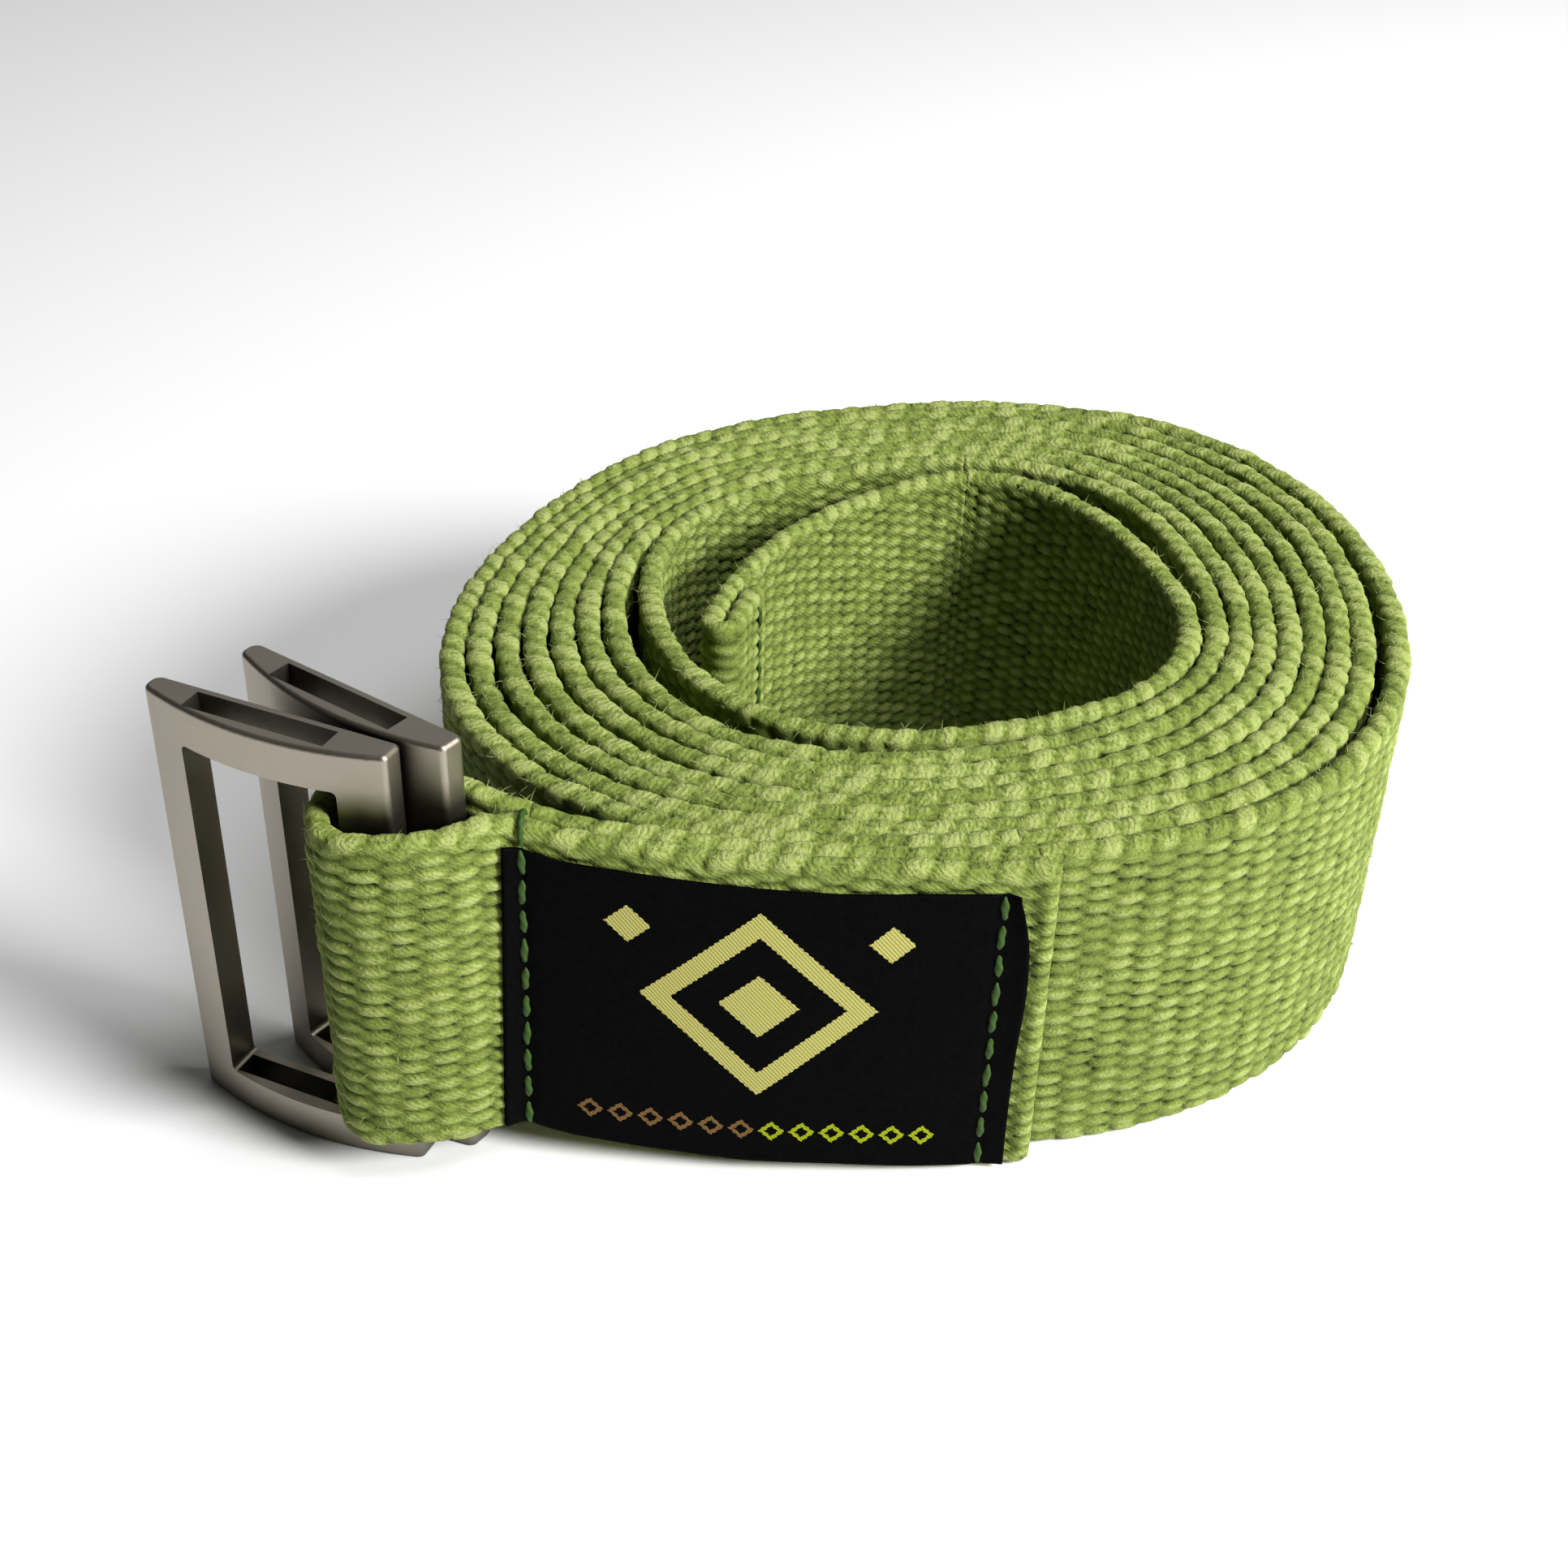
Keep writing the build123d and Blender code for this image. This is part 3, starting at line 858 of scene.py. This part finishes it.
def cotton():
    """Soft green cotton: painted shade in the pits, twisted yarn on the floats, a little fluff."""
    n = Nodes("cotton_webbing")
    vector, along, across, relief = n.strip()
    drift = n.noise(95.0, 3.0)
    streak = n.noise(1.0, 3.0, n.scaled(vector, (0.9, 4.5, 0.0)))
    speck = n.noise(2600.0, 2.0)
    # Painted shade: the weave's relief darkens the pits between floats and the edges' notches; the
    # noises add random tone.
    pit_shade_and_tone = n.math("MULTIPLY_ADD", n.math("SUBTRACT", streak, 0.5), 0.45, relief)
    pit_shade_and_tone = n.math("MULTIPLY_ADD", n.math("SUBTRACT", speck, 0.5), 0.45, pit_shade_and_tone)
    pit_shade_and_tone = n.math("MULTIPLY_ADD", n.math("SUBTRACT", n.noise(1150.0, 4.0, None, 0.75), 0.5), 0.5, pit_shade_and_tone)
    colour = n.ramp(pit_shade_and_tone, (
        (0.0, srgb(14, 20, 3)), (0.3, srgb(44, 58, 15)), (0.62, srgb(94, 110, 42)),
        (0.85, srgb(118, 134, 62)), (1.0, srgb(148, 160, 94)),
    ))
    share = n.math("MULTIPLY", n.math("MULTIPLY", drift, relief), 0.4)
    n.link(n.mix(share, colour, srgb(134, 140, 58)), n.shader.inputs["Base Color"])
    warp = n.math("MULTIPLY_ADD", n.noise(420.0, 3.0), 2.2, along)
    slant = n.math("MULTIPLY_ADD", across, 1.35, warp)
    yarn = n.bump(n.wave(slant, 0.74), 0.00022, 0.3)
    fibres = n.bump(n.noise(1.0, 4.0, n.scaled(vector, (2.4, 6.0, 0.0)), 0.7), 0.0003, 0.6, yarn)
    clumps = n.bump(n.noise(1150.0, 4.0, None, 0.75), 0.00035, 0.55, fibres)
    grain = n.bump(speck, 0.00018, 0.6, clumps)
    n.link(grain, n.shader.inputs["Normal"])
    rough = n.math("MULTIPLY_ADD", speck, 0.1, 0.82)
    n.link(rough, n.shader.inputs["Roughness"])
    n.shader.inputs["Specular IOR Level"].default_value = 0.25
    n.shader.inputs["Sheen Weight"].default_value = 0.06
    n.shader.inputs["Sheen Roughness"].default_value = 0.45
    n.shader.inputs["Sheen Tint"].default_value = (*srgb(214, 222, 160), 1)
    return n.material


def fluff():
    """The loose fibres: the same cotton, in a paler and a deeper tone mixed at random."""
    n = Nodes("cotton_fluff")
    colour = n.mix(n.noise(300.0, 2.0), srgb(120, 134, 64), srgb(160, 170, 104))
    n.link(colour, n.shader.inputs["Base Color"])
    n.link(n.bump(n.noise(4000.0, 2.0), 0.00005, 0.4), n.shader.inputs["Normal"])
    n.shader.inputs["Roughness"].default_value = 0.9
    n.shader.inputs["Sheen Weight"].default_value = 0.3
    return n.material


def lozenge(n, along, across, place, size):
    """Distance from a lozenge's middle: 1 on its outline."""
    x = n.math("DIVIDE", n.math("ABSOLUTE", n.math("SUBTRACT", along, place[0])), size)
    y = n.math("DIVIDE", n.math("ABSOLUTE", n.math("SUBTRACT", across, place[1])), size)
    return n.math("ADD", x, y)


def between(n, value, low, high):
    """1 where a value lies between two others."""
    above = n.math("GREATER_THAN", value, low)
    return n.math("MULTIPLY", above, n.math("LESS_THAN", value, high))


def label_satin():
    """Black woven satin with a plain lozenge motif in pale yarn and a band of small lozenges."""
    n = Nodes("label_satin")
    _, along, across, _ = n.strip()
    ragged = n.math("MULTIPLY", n.math("SUBTRACT", n.wave(across, 0.5), 0.5), 0.16)
    x = n.math("ADD", along, ragged)
    big = lozenge(n, x, across, MOTIF_MIDDLE, MOTIF_SIZE)
    outline = between(n, big, 0.74, 1.0)
    heart = n.math("LESS_THAN", big, 0.34)
    aside = n.math("ABSOLUTE", n.math("SUBTRACT", x, MOTIF_MIDDLE[0]))
    flanks = lozenge(n, aside, across, DOT_PLACE, DOT_SIZE)
    dots = n.math("LESS_THAN", flanks, 1.0)
    pale = n.math("MAXIMUM", n.math("MAXIMUM", outline, heart), dots)
    in_band = n.math("SUBTRACT", x, BAND_ENDS[0])
    cell = n.math("SUBTRACT", n.math("PINGPONG", in_band, BAND_PITCH), BAND_PITCH / 2)
    above = n.math("SUBTRACT", across, BAND_HEIGHT)
    small = n.math("ADD", n.math("ABSOLUTE", cell), n.math("ABSOLUTE", above))
    row = n.math("MULTIPLY", between(n, small, 0.7, 1.3), between(n, x, *BAND_ENDS))
    twill = n.wave(n.math("MULTIPLY_ADD", across, 0.8, along), 0.42)
    pale_yarn = n.mix(twill, srgb(144, 140, 76), srgb(178, 174, 102))
    black = n.mix(n.noise(1400.0, 2.0), srgb(2, 2, 2), srgb(9, 9, 9))
    colour = n.mix(pale, black, pale_yarn)
    first_half = n.math("LESS_THAN", along, MOTIF_MIDDLE[0])
    band = n.mix(first_half, srgb(139, 150, 28), srgb(109, 83, 50))
    colour = n.mix(row, colour, band)
    n.link(colour, n.shader.inputs["Base Color"])
    marked = n.math("MAXIMUM", pale, row)
    raised = n.bump(marked, 0.00012, 0.6)
    ribs = n.bump(twill, 0.00006, 0.5, raised)
    n.link(n.bump(n.noise(3200.0, 2.0), 0.00005, 0.35, ribs), n.shader.inputs["Normal"])
    rough = n.math("MULTIPLY_ADD", marked, 0.25, 0.5)
    n.link(n.math("MULTIPLY_ADD", n.noise(900.0, 2.0), 0.12, rough), n.shader.inputs["Roughness"])
    n.shader.inputs["Specular IOR Level"].default_value = 0.1
    n.shader.inputs["IOR"].default_value = 1.15
    return n.material


def sewing_thread():
    """Green polyester thread, two plies."""
    n = Nodes("sewing_thread")
    *_, ply = n.strip()
    # Painted shade: the thread is darker in the grooves between its plies and lighter on their swells.
    shade = n.math("MULTIPLY_ADD", ply, 1.6, -1.1)
    fibre = n.noise(2500.0, 3.0)
    share = n.math("MULTIPLY_ADD", fibre, 0.5, n.math("MULTIPLY", shade, 0.5))
    colour = n.mix(share, srgb(18, 36, 8), srgb(62, 92, 30))
    n.link(colour, n.shader.inputs["Base Color"])
    n.link(n.bump(fibre, 0.00006, 0.5), n.shader.inputs["Normal"])
    n.shader.inputs["Roughness"].default_value = 0.6
    n.shader.inputs["Specular IOR Level"].default_value = 0.2
    return n.material


def satin_nickel():
    """Cast ring metal with a tumbled satin nickel finish, darkened by painted shade in its recesses.
    """
    n = Nodes("satin_nickel")
    cloud = n.noise(70.0, 3.0)
    grain = n.noise(1500.0, 4.0)
    metal = n.mix(cloud, srgb(150, 143, 130), srgb(172, 164, 150))
    # Painted shade: ambient occlusion darkens the metal in the slots, in recesses and where parts
    # touch.
    recess_shade = n.add("ShaderNodeAmbientOcclusion", samples=8)
    recess_shade.inputs["Distance"].default_value = 0.004
    unshaded_share = n.math("POWER", recess_shade.outputs["AO"], 1.6)
    n.link(n.mix(unshaded_share, srgb(40, 36, 28), metal), n.shader.inputs["Base Color"])
    n.shader.inputs["Metallic"].default_value = 1.0
    rough = n.math("MULTIPLY_ADD", cloud, 0.12, 0.3)
    n.link(n.math("MULTIPLY_ADD", grain, 0.1, rough), n.shader.inputs["Roughness"])
    soft = n.bump(n.noise(240.0, 2.0), 0.0002, 0.18)
    n.link(n.bump(grain, 0.00003, 0.35, soft), n.shader.inputs["Normal"])
    return n.material


def floor_paper():
    """Plain pale backdrop."""
    n = Nodes("floor_paper")
    colour = n.mix(n.noise(3.0, 2.0), (0.88, 0.88, 0.88), (0.9, 0.9, 0.9))
    n.link(colour, n.shader.inputs["Base Color"])
    n.shader.inputs["Roughness"].default_value = 0.9
    n.shader.inputs["Specular IOR Level"].default_value = 0.1
    return n.material


def paint(piece, material):
    """Give a piece one material."""
    piece.data.materials.clear()
    piece.data.materials.append(material)


# ---- the stage ------------------------------------------------------------------------------


def make_floor():
    """A wide pale floor, which is not part of the strap."""
    signs = ((-1, -1), (1, -1), (1, 1), (-1, 1))
    corners = [(x * FLOOR_HALF, y * FLOOR_HALF, 0) for x, y in signs]
    floor = mesh_object("floor", corners, [(0, 1, 2, 3)])
    paint(floor, floor_paper())


def make_light(name, place, size, power):
    """A round lamp that shines at the strap."""
    data = bpy.data.lights.new(name, "AREA")
    data.shape = "DISK"
    data.size = size
    data.energy = power
    lamp = bpy.data.objects.new(name, data)
    lamp.location = place
    direction = Vector(LIGHT_TARGET) - Vector(place)
    lamp.rotation_euler = direction.to_track_quat("-Z", "Y").to_euler()
    bpy.context.scene.collection.objects.link(lamp)


def make_world(strength):
    """Even white light from all round."""
    world = bpy.data.worlds.new("studio")
    world.use_nodes = True
    background = world.node_tree.nodes["Background"]
    background.inputs["Color"].default_value = (1, 1, 1, 1)
    background.inputs["Strength"].default_value = strength
    bpy.context.scene.world = world


def make_camera():
    """The camera, set up like the photo's."""
    data = bpy.data.cameras.new("camera")
    data.lens = CAMERA_LENS
    data.sensor_width = CAMERA_SENSOR
    data.clip_start = 0.01
    camera = bpy.data.objects.new("camera", data)
    tilt = Matrix.Rotation(radians(90 - CAMERA_DOWN), 4, "X")
    roll = Matrix.Rotation(radians(CAMERA_ROLL), 4, "Z")
    camera.matrix_world = Matrix.Translation(CAMERA_PLACE) @ tilt @ roll
    bpy.context.scene.collection.objects.link(camera)
    bpy.context.scene.camera = camera


# ---- build ----------------------------------------------------------------------------------

make_camera()
make_floor()
make_world(AMBIENT)
for name, (place, size, power) in LIGHTS.items():
    make_light(name, place, size, power)
bpy.context.scene.view_settings.view_transform = "Standard"

strap = Strap()
web = cotton()
thread = sewing_thread()
fluffy = fluff()

coil = coil_pieces(strap)
for piece in coil:
    paint(piece, web)
    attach(piece, "coil")
    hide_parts("strap_coil")

tail = webbing("tail_webbing", strap, 0.0, strap.begin["coil"], FINE_STEP, True, True)
paint(tail, web)
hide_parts("strap_tail")

run_start = strap.begin["run"] + RUN_TUCK
run = webbing("sewn_run", strap, run_start, strap.begin["loop"], FINE_STEP, True, False)
paint(run, web)
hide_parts("strap_end")

flap = webbing("sewn_loop", strap, strap.begin["loop"], strap.length, FINE_STEP, True, True)
paint(flap, web)
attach(flap, "sewn_end")
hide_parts("strap_end")

label = make_label(strap)
paint(label, label_satin())
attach(label, "sewn_end")
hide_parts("label")

seams = {
    "seam_left": label_seam(strap, "stitches_left", "left", LEFT_LEAN),
    "seam_right": label_seam(strap, "stitches_right", "right", RIGHT_LEAN),
    "seam_hem": hem_seam(strap),
}
wrap = thread_tube("stitch_over_edge", wrap_thread(strap), WRAP_RADIUS)
for node, piece in [*seams.items(), ("seam_left", wrap)]:
    paint(piece, thread)
    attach(piece, "tail" if node == "seam_hem" else "sewn_end")
    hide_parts(node)

coil_fuzz = fuzz("fluff_coil", coil, COIL_FIBRES, 5)
end_fuzz = fuzz("fluff_end", [flap], END_FIBRES, 6)
tail_fuzz = fuzz("fluff_tail", [tail], END_FIBRES, 7)
for piece in (coil_fuzz, end_fuzz, tail_fuzz):
    paint(piece, fluffy)
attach(coil_fuzz, "coil")
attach(end_fuzz, "sewn_end")

for piece in (tail, tail_fuzz):
    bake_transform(piece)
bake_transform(run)

nickel = satin_nickel()
for name in ("front_ring", "rear_ring"):
    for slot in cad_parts[name].material_slots:
        slot.material = nickel
